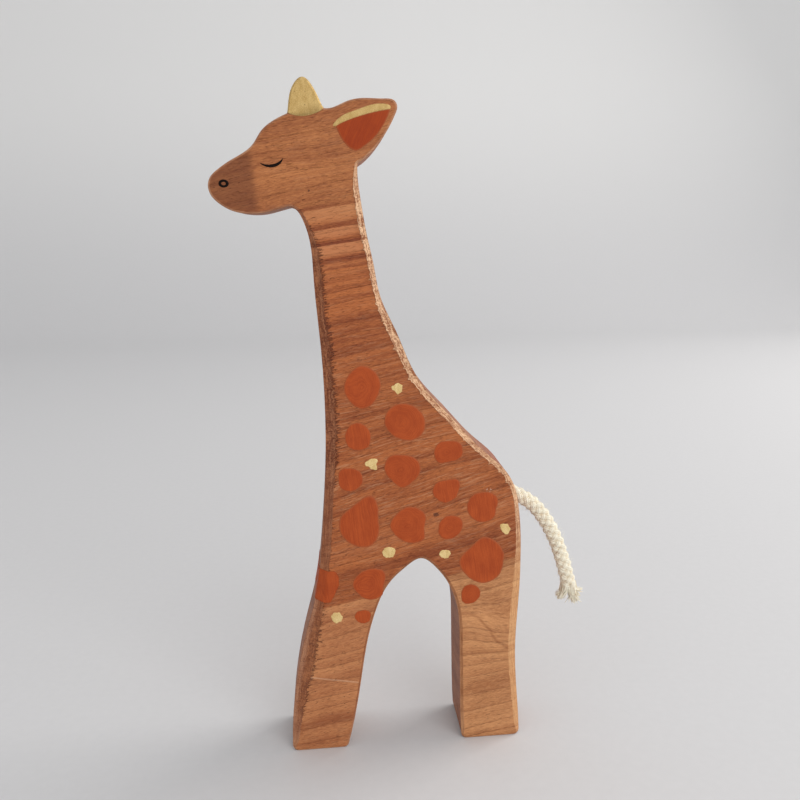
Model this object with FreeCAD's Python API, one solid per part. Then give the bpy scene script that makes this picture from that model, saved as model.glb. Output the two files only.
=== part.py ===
import FreeCAD, Part
import math
import os

V = FreeCAD.Vector

# A giraffe sawn from one flat board and painted, with a braided cord tail glued into its rump.
# +Z is up, the head points to -X and the board's thickness runs along Y. Z = 0 is the floor.

# ---- Sizes of the figure, in millimetres ----
FIGURE_HEIGHT = 200.0      # floor to the tip of the horn
FIGURE_LENGTH = 89.0       # nose to rump
BOARD_THICKNESS = 20.0
HEAD_REACH = 30.0          # how far the nose stands ahead of the chest
HORN_HEIGHT = 9.5          # horn tip above the crown
ARCH_HEIGHT = 60.5         # floor to the top of the gap between the legs
TRUNK_DEPTH = 59.5         # top of the leg gap to the root of the neck
TOE_REACH = 12.6           # how far the front toe stands ahead of the chest
FRONT_FOOT_LENGTH = 17.4
HIND_FOOT_LENGTH = 18.6
HEEL_INSET = 0.2           # the hind heel stands this far inside the rump
FOOT_ROUND = 1.6           # corner radius of the feet
EDGE_BEVEL = 2.2           # bevel knifed along the neck, back, rump, chest and outer leg edges
ARCH_BEVEL = 0.9           # smaller bevel inside the leg gap
BEVEL_RUN_OUT = 20.0       # length over which the bevel fades out at the ear and the throat

# ---- Sizes of the tail ----
CORD_DIAMETER = 5.0
BORE_CLEARANCE = 0.4       # round the cord, filled with glue
BORE_DEPTH = 8.5           # the cord's length inside the rump
GLUE_BED = 0.6             # glue under the end of the cord
GLUE_RECESS = 1.6          # the glue stops this far below the rump's surface
TAIL_SLOPE = 20.0          # degrees below level at which the bore leaves the rump
TAIL_EXIT_RISE = 16.9      # height of the bore's mouth above the top of the leg gap
TAIL_EXIT_INSET = 0.6      # the mouth's centre stands this far inside the rump's widest point
TAIL_STRAIGHT = 3.0        # the cord's straight way out of the bore
TAIL_FALL = ((10.3, -8.8), (15.3, -19.8), (17.7, -28.9))  # its corners, from the bore's mouth
TUFT_LENGTH = 10.5
TUFT_RADIUS = 4.6

# ---- Coats of paint ----
SPOT_FILM = 0.15
GOLD_FILM = 0.12
LINE_FILM = 0.10
FLANK_WRAP = 4.0           # how far the front leg's edge spot runs back from the face
SPOT_LAYOUT_LENGTH = 59.0  # chest to rump, as the spots are laid out; they stretch with the body

# ---- Places worked out from those sizes ----
NOSE_X = -FIGURE_LENGTH / 2
RUMP_X = FIGURE_LENGTH / 2
CHEST_X = NOSE_X + HEAD_REACH
BODY_LENGTH = RUMP_X - CHEST_X
CROWN_Z = FIGURE_HEIGHT - HORN_HEIGHT
NECK_BASE_Z = ARCH_HEIGHT + TRUNK_DEPTH
NECK_TOP_DROP = 33.0       # the neck meets the head this far below the crown
TOE_X = CHEST_X - TOE_REACH
FRONT_HEEL_X = TOE_X + FRONT_FOOT_LENGTH
HIND_HEEL_X = RUMP_X - HEEL_INSET
HIND_TOE_X = HIND_HEEL_X - HIND_FOOT_LENGTH
FACE_Y = BOARD_THICKNESS / 2
BORE_RADIUS = CORD_DIAMETER / 2 + BORE_CLEARANCE


def head(back, drop):
    """A point of the head, measured back from the nose and down from the crown."""
    return V(NOSE_X + back, 0, CROWN_Z - drop)


def neck(back, share):
    """A point of the neck, behind the chest, at a share of the way from its root to the head."""
    top = CROWN_Z - NECK_TOP_DROP
    return V(CHEST_X + back, 0, NECK_BASE_Z + share * (top - NECK_BASE_Z))


def trunk(share, rise):
    """A point of the trunk, at a share of the way from chest to rump, above the leg gap."""
    return V(CHEST_X + share * BODY_LENGTH, 0, ARCH_HEIGHT + rise)


def arch(along, up):
    """A point of the gap between the legs, as shares of its width at the floor and its height."""
    return V(FRONT_HEEL_X + along * (HIND_TOE_X - FRONT_HEEL_X), 0, up * ARCH_HEIGHT)


def leg(x, up):
    """A point of a leg's outer edge, at a share of the height of the leg gap."""
    return V(x, 0, up * ARCH_HEIGHT)


def smooth(points):
    """One smooth curve through the points."""
    curve = Part.BSplineCurve()
    curve.interpolate(points)
    return curve.toShape()


def moved_in(points, bevel, run_out=None):
    """The points moved into the board by the bevel, which fades to nothing at a run-out end.

    The outline is followed with the board on its right, so inwards is a quarter turn right.
    """
    result = []
    for i, point in enumerate(points):
        way = (points[min(i + 1, len(points) - 1)] - points[max(i - 1, 0)]).normalize()
        depth = bevel
        if run_out is not None:
            depth = bevel * min(1.0, point.distanceToPoint(points[run_out]) / BEVEL_RUN_OUT)
        result.append(point + V(way.z, 0, -way.x) * depth)
    return result


def foot(front_x, rear_x):
    """The underside of a foot with its two rounded corners, from rear to front."""
    r = FOOT_ROUND
    lean = r * (1 - math.cos(math.radians(45)))
    rear = Part.Arc(V(rear_x, 0, r), V(rear_x - lean, 0, lean), V(rear_x - r, 0, 0))
    flat = Part.LineSegment(V(rear_x - r, 0, 0), V(front_x + r, 0, 0))
    front = Part.Arc(V(front_x + r, 0, 0), V(front_x + lean, 0, lean), V(front_x, 0, r))
    return [rear.toShape(), flat.toShape(), front.toShape()]


def horn_edge(film=0):
    """Over the horn from its front root to its back root, as sawn or under a film of paint."""
    points = [head(22.3, 0), head(22.8, -3.9), head(24.0, -7.4), head(26.4, -HORN_HEIGHT),
              head(29.2, -6.9), head(30.8, -3.7), head(31.9, -1.4)]
    return smooth(moved_in(points, -film))


def ear_edge():
    return smooth([head(31.9, -1.4), head(33.6, -1.4), head(38.6, -3.4), head(43.4, -4.2),
                   head(48.6, -4.1), head(51.6, -3.6), head(52.3, -2.4), head(51.8, 0.0),
                   head(49.3, 4.7), head(46.3, 8.8), head(43.0, 12.0), head(41.0, 13.3)])


def back_edge(bevel):
    """From the ear down the neck, over the withers and rump, to the hind heel."""
    rump_leg = ((-0.1, 0.83), (-0.7, 0.67), (-1.3, 0.50), (-1.2, 0.34), (-0.4, 0.13))
    points = [head(41.0, 13.3), head(41.1, 18.3), head(41.8, 23.7), head(43.3, NECK_TOP_DROP),
              neck(15.0, 0.79), neck(17.0, 0.52), neck(21.0, 0.28),
              trunk(0.429, TRUNK_DEPTH), trunk(0.527, 50.3), trunk(0.63, 43.6),
              trunk(0.788, 33.3), trunk(0.873, 28.9), trunk(0.927, 25.2), trunk(0.960, 21.4),
              trunk(0.985, 14.5), trunk(0.997, 6.5), trunk(1.0, -1.5)]
    points += [leg(RUMP_X + x, up) for x, up in rump_leg]
    return smooth(moved_in(points, bevel, 0) + [V(HIND_HEEL_X - bevel, 0, FOOT_ROUND)])


def arch_edge(bevel):
    """Up the inner side of the hind leg, over the gap, and down to the front heel."""
    shares = ((0.990, 0.20), (0.986, 0.56), (0.969, 0.72), (0.915, 0.826), (0.864, 0.884),
              (0.771, 0.954), (0.658, 1.0), (0.511, 0.955), (0.421, 0.909), (0.342, 0.850),
              (0.260, 0.744), (0.186, 0.595), (0.113, 0.349), (0.062, 0.180))
    points = moved_in([arch(x, z) for x, z in shares], bevel)
    return smooth([V(HIND_TOE_X + bevel, 0, FOOT_ROUND)] + points
                  + [V(FRONT_HEEL_X - bevel, 0, FOOT_ROUND)])


def front_edge(bevel):
    """From the front toe up the leg, the chest and the neck to the throat."""
    points = [leg(TOE_X + 0.3, 0.16), leg(TOE_X + 2.2, 0.40), leg(TOE_X + 5.0, 0.61),
              leg(TOE_X + 8.1, 0.80), trunk(-0.033, 5.5), trunk(0.0, 34.5),
              neck(-0.7, 0.20), neck(-2.0, 0.66),
              head(26.8, 32.7), head(25.5, 28.8), head(24.0, 26.2), head(21.9, 24.9)]
    return smooth([V(TOE_X + bevel, 0, FOOT_ROUND)] + moved_in(points, bevel, -1))


def face_edge():
    """From the throat along the jaw, round the nose and up the forehead to the horn."""
    return smooth([head(21.9, 24.9), head(18.6, 25.8), head(14.4, 26.8), head(9.8, 26.9),
                   head(6.4, 26.2), head(3.1, 24.4), head(0.8, 22.1), head(0, 19.5),
                   head(0.7, 17.0), head(2.6, 15.1), head(6.4, 12.5), head(10.4, 10.2),
                   head(12.6, 8.2), head(14.9, 4.7), head(17.9, 2.2), head(22.3, 0)])


def outline(bevel, arch_bevel):
    """The edges of the board's outline, as sawn or moved in by the bevels."""
    edges = [horn_edge(), ear_edge(), back_edge(bevel)]
    edges += foot(HIND_TOE_X + arch_bevel, HIND_HEEL_X - bevel)
    edges += [arch_edge(arch_bevel)] + foot(TOE_X + bevel, FRONT_HEEL_X - arch_bevel)
    return edges + [front_edge(bevel), face_edge()]


def strip(first, second):
    """The surface between two edges: flat between the straight edges of a sole."""
    if first.Curve.TypeId == "Part::GeomLine":
        a, b = (v.Point for v in first.Vertexes)
        d, c = (v.Point for v in second.Vertexes)
        return Part.Face(Part.makePolygon([a, b, c, d, a]))
    return Part.makeRuledSurface(first, second)


def blank_board():
    """The sawn board with the bevels on both of its faces, built as one closed skin."""
    sawn = outline(0, 0)
    trimmed = outline(EDGE_BEVEL, ARCH_BEVEL)
    rim = FACE_Y - EDGE_BEVEL
    skin = [strip(e.translated(V(0, -rim, 0)), e.translated(V(0, rim, 0))) for e in sawn]
    for side in (-1, 1):
        out = V(0, side * FACE_Y, 0)
        skin += [strip(s.translated(V(0, side * rim, 0)), t.translated(out))
                 for s, t in zip(sawn, trimmed)]
        skin.append(Part.Face(Part.Wire([t.translated(out) for t in trimmed])))
    shell = Part.Shell(skin)
    shell.sewShape()
    return Part.Solid(shell)


def tail_direction():
    slope = math.radians(TAIL_SLOPE)
    return V(math.cos(slope), 0, -math.sin(slope))


def tail_exit():
    """The middle of the bore's mouth in the rump."""
    return V(RUMP_X - TAIL_EXIT_INSET, 0, ARCH_HEIGHT + TAIL_EXIT_RISE)


def board():
    """The giraffe: a bevelled board with a blind bore for the tail."""
    bottom = tail_exit() - tail_direction() * (BORE_DEPTH + GLUE_BED)
    run_out = BORE_DEPTH + GLUE_BED + CORD_DIAMETER
    return blank_board().cut(Part.makeCylinder(BORE_RADIUS, run_out, bottom, tail_direction()))


# ---- The tail ----
# The route starts at the bottom of the bore and runs outside it at the bore's own slope.
def tail_route():
    exit_point = tail_exit()
    start = exit_point - tail_direction() * BORE_DEPTH
    bend = exit_point + tail_direction() * TAIL_STRAIGHT
    return [start, bend] + [exit_point + V(x, 0, z) for x, z in TAIL_FALL]


def tail_cord():
    """A round cord: straight runs joined by arcs that touch them, as wide as the runs allow."""
    points = tail_route()
    edges = []
    last = points[0]
    length = 0.0
    for before, corner, after in zip(points, points[1:], points[2:]):
        run_in = corner - before
        run_out = after - corner
        cut = 0.45 * min(run_in.Length, run_out.Length)
        half_turn = run_in.getAngle(run_out) / 2
        radius = cut / math.tan(half_turn)
        print("cord bend radius %.1f mm" % radius)
        a = corner - V(run_in).normalize() * cut
        b = corner + V(run_out).normalize() * cut
        towards = (V(run_out).normalize() - V(run_in).normalize()).normalize()
        middle = corner + towards * (radius / math.cos(half_turn) - radius)
        edges += [Part.LineSegment(last, a).toShape(), Part.Arc(a, middle, b).toShape()]
        length += last.distanceToPoint(a) + 2 * half_turn * radius
        last = b
    edges.append(Part.LineSegment(last, points[-1]).toShape())
    length += last.distanceToPoint(points[-1])
    ring = Part.Wire(Part.makeCircle(CORD_DIAMETER / 2, points[0], points[1] - points[0]))
    tube = Part.Wire(edges).makePipeShell([ring], True, True)
    section = math.pi * CORD_DIAMETER ** 2 / 4
    print("cord length %.1f mm, volume %.0f of %.0f mm3" % (length, tube.Volume, section * length))
    return tube


def tail_glue(cord):
    """The glue between the cord and the walls and bottom of its bore."""
    bottom = tail_exit() - tail_direction() * (BORE_DEPTH + GLUE_BED)
    depth = BORE_DEPTH + GLUE_BED - GLUE_RECESS
    return Part.makeCylinder(BORE_RADIUS, depth, bottom, tail_direction()).cut(cord)


def tail_tuft():
    """The brush of loosened strands at the end of the cord."""
    points = tail_route()
    way = points[-1] - points[-2]
    return Part.makeCone(CORD_DIAMETER / 2, TUFT_RADIUS, TUFT_LENGTH, points[-1], way)


# ---- The paint ----
# Each spot has a name, a place (share of the way from chest to rump, height above the leg
# gap) and its reach from there in eight directions, an eighth of a turn apart, the first of
# them level towards the rump unless a lead angle says otherwise.
SPOTS = (
    ("throat", 0.188, 53.3, (5.3, 5.8, 6.5, 5.5, 5.3, 5.6, 6.3, 5.4), 0),
    ("breast", 0.163, 38.6, (3.7, 3.8, 4.3, 4.2, 3.9, 4.1, 4.0, 4.2), 0),
    ("shoulder", 0.397, 42.6, (6.0, 5.5, 5.6, 6.2, 6.1, 5.4, 5.5, 6.3), 0),
    ("withers", 0.615, 33.2, (4.4, 4.0, 3.3, 4.0, 4.4, 4.5, 3.2, 3.7), 0),
    ("ribs", 0.380, 28.1, (5.4, 5.2, 4.7, 5.8, 5.3, 4.5, 5.5, 4.9), 0),
    ("chest", 0.120, 25.9, (3.6, 3.5, 3.4, 4.2, 3.6, 3.9, 3.7, 3.6), 0),
    ("back", 0.600, 21.1, (4.0, 4.9, 3.4, 3.8, 4.0, 3.7, 3.7, 3.7), 0),
    ("croup", 0.790, 15.6, (4.5, 5.3, 4.7, 4.9, 4.8, 4.7, 4.9, 5.0), 0),
    ("elbow", 0.163, 12.2, (6.1, 8.9, 5.7, 6.2, 6.5, 7.1, 7.8, 6.2), 27),
    ("belly", 0.406, 11.1, (5.2, 6.0, 5.6, 4.9, 5.5, 5.0, 5.8, 6.8), 0),
    ("flank", 0.624, 9.7, (3.7, 4.0, 3.7, 3.6, 3.7, 4.3, 3.8, 3.5), 0),
    ("haunch", 0.796, -1.2, (6.4, 6.7, 7.3, 5.8, 7.5, 7.1, 7.6, 7.2), 0),
    ("forearm", 0.203, -6.9, (4.6, 5.7, 4.6, 4.4, 5.0, 4.7, 5.3, 5.6), 0),
    ("knee", 0.167, -17.6, (2.4, 2.6, 2.2, 2.4, 2.5, 2.1, 2.1, 2.3), 0),
    ("thigh", 0.730, -12.2, (3.0, 3.1, 3.2, 3.2, 2.9, 3.5, 3.1, 2.8), 0),
)
# One more spot runs off the face and over the bevel of the front leg.
EDGE_SPOT = ("foreleg_edge", -0.027, -7.0, (4.0, 5.2, 5.0, 4.6, 4.4, 4.4, 5.0, 3.8), 0)
GOLD_DOTS = (
    ("neck", 0.361, 52.9, (1.4, 1.6, 1.5, 1.4, 1.7, 1.2, 1.8, 1.7), 0),
    ("breast", 0.229, 30.4, (1.5, 2.1, 1.5, 1.5, 2.1, 1.4, 1.7, 2.3), 0),
    ("belly", 0.305, 2.6, (2.0, 1.9, 1.75, 1.8, 1.9, 1.8, 1.8, 1.9), 0),
    ("flank", 0.595, 1.1, (1.6, 1.7, 1.5, 1.6, 1.6, 1.3, 1.5, 1.5), 0),
    ("rump", 0.910, 8.4, (1.6, 1.4, 1.5, 2.0, 1.3, 1.3, 1.9, 1.8), 0),
    ("foreleg", 0.034, -17.4, (1.75, 1.7, 1.7, 1.7, 1.75, 1.7, 1.7, 1.65), 0),
)


def closed_face(points):
    """A flat face inside one smooth closed curve through the points."""
    curve = Part.BSplineCurve()
    curve.interpolate(Points=points, PeriodicFlag=True)
    return Part.Face(Part.Wire(curve.toShape()))


def blot(share, rise, reaches, lead):
    """The flat shape of a spot, in the board's middle plane."""
    middle = trunk(share, rise)
    stretch = BODY_LENGTH / SPOT_LAYOUT_LENGTH
    turns = [math.radians(lead) + i * 2 * math.pi / len(reaches) for i in range(len(reaches))]
    return closed_face([middle + V(stretch * r * math.cos(turn), 0, r * math.sin(turn))
                        for r, turn in zip(reaches, turns)])


def coat(shape, side, film):
    """A film of paint of the given flat shape on one face of the board."""
    layer = shape.extrude(V(0, side * film, 0))
    layer.translate(V(0, side * FACE_Y, 0))
    return layer


def ear_lining():
    """The terracotta inside of the ear, under its gold crescent."""
    upper = smooth([head(35.3, 3.4), head(37.2, 2.4), head(40.9, 1.0), head(45.0, -0.2),
                    head(50.3, -1.2)])
    lower = smooth([head(50.3, -1.2), head(49.4, 1.2), head(46.8, 5.3), head(43.3, 8.5),
                    head(40.5, 9.9), head(37.7, 8.1), head(36.0, 5.4), head(35.3, 3.4)])
    return Part.Face(Part.Wire([upper, lower]))


def ear_crescent():
    """The gold crescent along the top of the ear, meeting the lining edge to edge."""
    lower = smooth([head(35.3, 3.4), head(37.2, 2.4), head(40.9, 1.0), head(45.0, -0.2),
                    head(50.3, -1.2)])
    upper = smooth([head(50.3, -1.2), head(50.5, -1.9), head(48.2, -2.7), head(43.2, -1.8),
                    head(39.3, -0.4), head(36.2, 1.2), head(34.6, 3.4), head(35.3, 3.4)])
    return Part.Face(Part.Wire([lower, upper]))


def eye_line():
    """The closed eye: one stroke, thickest at its lowest point and pointed at both ends."""
    lower = smooth([head(14.2, 13.2), head(17.0, 14.5), head(19.4, 13.9), head(20.6, 11.9)])
    upper = smooth([head(20.6, 11.9), head(19.0, 13.2), head(17.0, 13.7), head(14.2, 13.2)])
    return Part.Face(Part.Wire([lower, upper]))


def nostril():
    """A small oval ring."""
    middle = head(4.3, 18.8)
    rim = [closed_face([middle + V(a * math.cos(t * math.pi / 4), 0, b * math.sin(t * math.pi / 4))
                        for t in range(8)]) for a, b in ((1.4, 1.1), (0.85, 0.6))]
    return rim[0].cut(rim[1])


def horn_gilding(body):
    """Gold all over the horn: both faces and the sawn edge between them."""
    over = horn_edge(GOLD_FILM)
    front, back = over.Vertexes[0].Point, over.Vertexes[-1].Point
    under = smooth([back, head(29.6, -0.5), head(26.2, 0.3), front])
    depth = BOARD_THICKNESS + 2 * GOLD_FILM
    cap = Part.Face(Part.Wire([over, under])).extrude(V(0, depth, 0))
    cap.translate(V(0, -depth / 2, 0))
    return cap.cut(body).Solids[0]


def edge_spot(side, body):
    """The spot on the front leg, following the face, the bevel and part of the sawn edge."""
    block = blot(*EDGE_SPOT[1:]).extrude(V(0, side * (FLANK_WRAP + SPOT_FILM), 0))
    block.translate(V(0, side * (FACE_Y - FLANK_WRAP), 0))
    skin = body.copy()
    skin.translate(V(-SPOT_FILM, side * SPOT_FILM, 0))
    return skin.common(block).cut(body)


def write(name, shape):
    solids = shape.Solids
    print("%-28s %d solid, %.1f mm3, valid %s" % (name, len(solids), shape.Volume, shape.isValid()))
    shape.exportStep("parts/%s.step" % name)


def build():
    os.makedirs("parts", exist_ok=True)
    body = board()
    cord = tail_cord()
    write("giraffe_board", body)
    write("tail_cord", cord)
    write("tail_tuft", tail_tuft())
    write("tail_glue", tail_glue(cord))
    write("horn_gilding", horn_gilding(body))
    for word, side in (("left", -1), ("right", 1)):
        write("ear_lining_" + word, coat(ear_lining(), side, SPOT_FILM))
        write("ear_crescent_" + word, coat(ear_crescent(), side, GOLD_FILM))
        write("eye_line_" + word, coat(eye_line(), side, LINE_FILM))
        write("nostril_" + word, coat(nostril(), side, LINE_FILM))
        for name, share, rise, reaches, lead in SPOTS:
            shape = blot(share, rise, reaches, lead)
            write("spot_%s_%s" % (name, word), coat(shape, side, SPOT_FILM))
        write("spot_%s_%s" % (EDGE_SPOT[0], word), edge_spot(side, body))
        for name, share, rise, reaches, lead in GOLD_DOTS:
            shape = blot(share, rise, reaches, lead)
            write("dot_%s_%s" % (name, word), coat(shape, side, GOLD_FILM))


build()
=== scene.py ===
# %% [markdown]
# A giraffe sawn from one flat board of fruit wood, painted with terracotta spots and pale gold,
# with a braided cotton cord for a tail. The engineering model is loaded first. It fixes every
# size and place, and each piece made here lies where its node lies, in metres, +Z up.

# %% Load the model and keep its box
import math

import bmesh
import bpy
import numpy as np
from mathutils import Matrix, Vector


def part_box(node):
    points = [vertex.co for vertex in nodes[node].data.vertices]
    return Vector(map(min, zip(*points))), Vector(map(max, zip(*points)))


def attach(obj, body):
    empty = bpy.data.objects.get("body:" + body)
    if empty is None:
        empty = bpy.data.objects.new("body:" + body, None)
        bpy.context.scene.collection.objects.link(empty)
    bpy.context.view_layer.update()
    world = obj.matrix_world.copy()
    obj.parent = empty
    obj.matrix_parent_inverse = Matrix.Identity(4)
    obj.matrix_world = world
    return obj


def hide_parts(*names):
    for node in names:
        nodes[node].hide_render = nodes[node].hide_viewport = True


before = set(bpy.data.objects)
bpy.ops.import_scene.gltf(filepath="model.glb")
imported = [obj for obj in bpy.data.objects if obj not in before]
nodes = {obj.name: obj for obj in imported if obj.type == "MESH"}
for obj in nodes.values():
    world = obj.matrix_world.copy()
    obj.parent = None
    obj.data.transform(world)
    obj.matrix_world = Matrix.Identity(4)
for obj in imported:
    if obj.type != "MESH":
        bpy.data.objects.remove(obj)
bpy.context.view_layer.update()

MM = 0.001

# %% [markdown]
# The camera comes first, so that every piece can be judged as it is made. It stands close, as
# high as the giraffe's jaw, and looks slightly down and towards the rump, so the inner side of
# the hind leg shows but not the underside of the jaw. Turning it is done with matrices, because
# a roll about its own axis comes after the turn and the tilt.

# %% Camera
def new_object(name, data):
    """An object with the given data, linked to the scene, at the origin."""
    made = bpy.data.objects.new(name, data)
    bpy.context.scene.collection.objects.link(made)
    return made


CAMERA_PLACE = Vector((-12.4, -249.9, 158.0)) * MM
TURN, TILT, ROLL = (math.radians(a) for a in (6.52, 9.55, 0.44))
LENS = 37.73                             # mm, for a sensor 36 mm wide
SHIFT = (-0.0316, -0.0328)
camera_data = bpy.data.cameras.new("camera")
camera_data.sensor_width = 36.0
camera_data.lens = LENS
camera_data.shift_x, camera_data.shift_y = SHIFT
camera_data.clip_start = 0.01
camera = new_object("camera", camera_data)
camera.matrix_world = (Matrix.Translation(CAMERA_PLACE) @ Matrix.Rotation(-TURN, 4, "Z")
                       @ Matrix.Rotation(math.radians(90) - TILT, 4, "X")
                       @ Matrix.Rotation(-ROLL, 4, "Z"))
bpy.context.scene.camera = camera
bpy.context.scene.view_settings.view_transform = "Standard"
print("camera", [round(v, 3) for v in camera.location])

# %% [markdown]
# Every new piece is a mesh worked out with numpy. These helpers put whole arrays of points and
# faces into a mesh, keep values on its points for the materials, let it ride on the model's only
# body and hide the engineering node it stands for.

# %% Mesh helpers
def grid_faces(rows, columns, around=False):
    """Quads of a grid of points, row by row. `around` joins the last row to the first."""
    index = np.arange(rows * columns).reshape(rows, columns)
    if around:
        index = np.vstack([index, index[:1]])
    a, b = index[:-1, :-1], index[:-1, 1:]
    c, d = index[1:, 1:], index[1:, :-1]
    return np.stack([a, b, c, d], axis=-1).reshape(-1, 4)


def new_mesh(name, points, faces, outward=True):
    """A smooth mesh from points and a list of faces, which are turned outwards if wanted."""
    mesh = bpy.data.meshes.new(name)
    mesh.from_pydata(np.asarray(points).tolist(), [], faces)
    if outward:
        work = bmesh.new()
        work.from_mesh(mesh)
        bmesh.ops.recalc_face_normals(work, faces=work.faces)
        work.to_mesh(mesh)
        work.free()
    mesh.polygons.foreach_set("use_smooth", [True] * len(mesh.polygons))
    return mesh


def make_piece(name, points, faces, extra_faces=(), attributes=None, outward=True):
    """A piece from arrays, riding on the body. `attributes` holds values for its points."""
    mesh = new_mesh(name, points, faces.tolist() + [list(f) for f in extra_faces], outward)
    for key, values in (attributes or {}).items():
        layer = mesh.attributes.new(key, "FLOAT", "POINT")
        layer.data.foreach_set("value", np.asarray(values, dtype=np.float32).ravel())
    piece = new_object(name, mesh)
    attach(piece, "root")
    return piece


def stand_in(piece, node):
    """The piece stands for an engineering node, which is hidden."""
    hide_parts(node)
    return piece

# %% [markdown]
# Most shapes here start from a line: the tail's route, or the outline of the board or of a spot.
# So these helpers work on rows of points: they measure a line, read points from it at any
# distance, smooth it, and make the small random waves that a hand leaves.

# %% Line helpers
def unit(vectors):
    """The same directions, each of length 1."""
    return vectors / np.linalg.norm(vectors, axis=-1, keepdims=True)


def run_along(points):
    """How far along a line each of its points lies."""
    return np.concatenate([[0.0], np.cumsum(np.linalg.norm(np.diff(points, axis=0), axis=1))])


def read_line(points, run, at):
    """Points of a line at the distances `at`, from its points and their own distances."""
    return np.stack([np.interp(at, run, column) for column in points.T], axis=1)


def stand_up(flat, y):
    """Points drawn flat as x, z, stood up at the depth y."""
    return np.stack([flat[..., 0], y, flat[..., 1]], axis=-1)


def blur(values, reach):
    """A closed row of values averaged with its neighbours under a bell of the given reach."""
    values = np.asarray(values, dtype=float)
    half = int(4 * reach) + 1
    bell = np.exp(-0.5 * (np.arange(-half, half + 1) / reach) ** 2)
    bell /= bell.sum()
    wrapped = np.concatenate([values[-half:], values, values[:half]])
    if values.ndim == 1:
        return np.convolve(wrapped, bell, mode="valid")
    return np.stack([np.convolve(c, bell, mode="valid") for c in wrapped.T], axis=1)


def ripple(count, reach, seed):
    """Smooth random values round a closed row, of mean 0 and spread 1."""
    values = blur(np.random.default_rng(seed).normal(size=count), reach)
    return (values - values.mean()) / values.std()

# %% [markdown]
# The tail is a cord of cotton, and its line is a NURBS spline with the route's own points: a
# short way in the bore, out of the rump and down in a loose curve. All that is built along it
# follows points read from that spline at even steps.

# %% The tail's line
TAIL_EXIT = Vector((43.9, 0.0, 77.4)) * MM
TAIL_SLOPE = math.radians(20.0)
tail_way = Vector((math.cos(TAIL_SLOPE), 0.0, -math.sin(TAIL_SLOPE)))
tail_points = [TAIL_EXIT - tail_way * 8.5 * MM, TAIL_EXIT + tail_way * 3.0 * MM]
tail_points += [TAIL_EXIT + Vector((x, 0.0, z)) * MM for x, z in
                ((10.3, -8.8), (15.3, -19.8), (17.7, -28.9))]


def spline_points(points):
    """Points along the smooth NURBS spline that has the given control points."""
    curve = bpy.data.curves.new("route", "CURVE")
    curve.dimensions = "3D"
    curve.resolution_u = 24
    spline = curve.splines.new("NURBS")
    spline.points.add(len(points) - 1)
    for slot, point in zip(spline.points, points):
        slot.co = (*point, 1.0)
    spline.order_u = 3
    spline.use_endpoint_u = True
    holder = bpy.data.objects.new("route", curve)
    line = bpy.data.meshes.new_from_object(holder)
    found = np.array([v.co[:] for v in line.vertices])
    bpy.data.objects.remove(holder)
    return found


def even(points, step):
    """The same line with its points a step apart, ends kept, and their distances along it."""
    run = run_along(points)
    at = np.linspace(0.0, run[-1], max(2, int(round(run[-1] / step)) + 1))
    return read_line(points, run, at), at


TAIL_STEP = 0.3 * MM
tail_line, tail_run = even(spline_points(tail_points), TAIL_STEP)
print("tail line", len(tail_line), "points,", round(tail_run[-1] / MM, 1), "mm")

# %% [markdown]
# Strands, yarns and hairs are all thin tubes, hundreds of them, so one function makes them all
# at once: rings of points round each line, as one array, and the quads between the rings.

# %% Tubes round many lines at once
def line_frames(line):
    """Two directions across a line at each point, the first of them near +Y."""
    along = unit(np.gradient(line, axis=0))
    side = unit(np.array([0.0, 1.0, 0.0]) - along * along[:, 1:2])
    return side, np.cross(along, side)


def tube_bundle(lines, radii, out=(0.0, 1.0, 0.0), flat=1.0, sides=8):
    """Closed tubes round several lines. Each ring is an ellipse: `flat` times as deep as wide.

    lines is strands x points x 3, radii one number or one for each point, and `out` the
    direction of the rings' depth. Returns points, quads and the two end faces of each tube.
    """
    along = unit(np.gradient(lines, axis=1))
    out = np.asarray(out)
    out = unit(out - along * (out * along).sum(axis=2, keepdims=True))
    wide = np.cross(along, out)
    turn = np.arange(sides) * 2 * math.pi / sides
    ring = (wide[:, :, None] * np.cos(turn)[:, None]
            + out[:, :, None] * flat * np.sin(turn)[:, None])
    strands, count = lines.shape[:2]
    radii = np.broadcast_to(radii, (strands, count))
    points = lines[:, :, None] + ring * radii[:, :, None, None]
    index = np.arange(strands * count * sides).reshape(strands, count, sides)
    after = np.roll(index, -1, axis=2)
    quads = np.stack([index[:, :-1], after[:, :-1], after[:, 1:], index[:, 1:]], axis=-1)
    ends = np.concatenate([index[:, 0], index[:, -1, ::-1]])
    return points.reshape(-1, 3), quads.reshape(-1, 4), ends

# %% [markdown]
# Eight strands run round the line, four each way, and pass over and under each other: each
# one's distance from the line swings in and out once every quarter turn, and the two families
# swing in opposite time. A strand is three yarns side by side, the middle one a little proud.
# A plain core fills the middle, so that no light shows between the strands.

# %% The braid
BRAID_PITCH = 10.5 * MM                  # length of a strand's full turn
BRAID_MIDDLE = 1.64 * MM                 # a strand's mean distance from the line
BRAID_SWING = 0.44 * MM
CORE_RADIUS = 1.2 * MM
YARN_RADIUS = 0.38 * MM
YARN_SINK = 0.2 * MM                     # how much lower a strand's outer yarns lie
YARNS_BESIDE = (-0.56, 0.0, 0.56)        # places of a strand's yarns across it, in mm
BRAID_SIDES = 8


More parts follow.
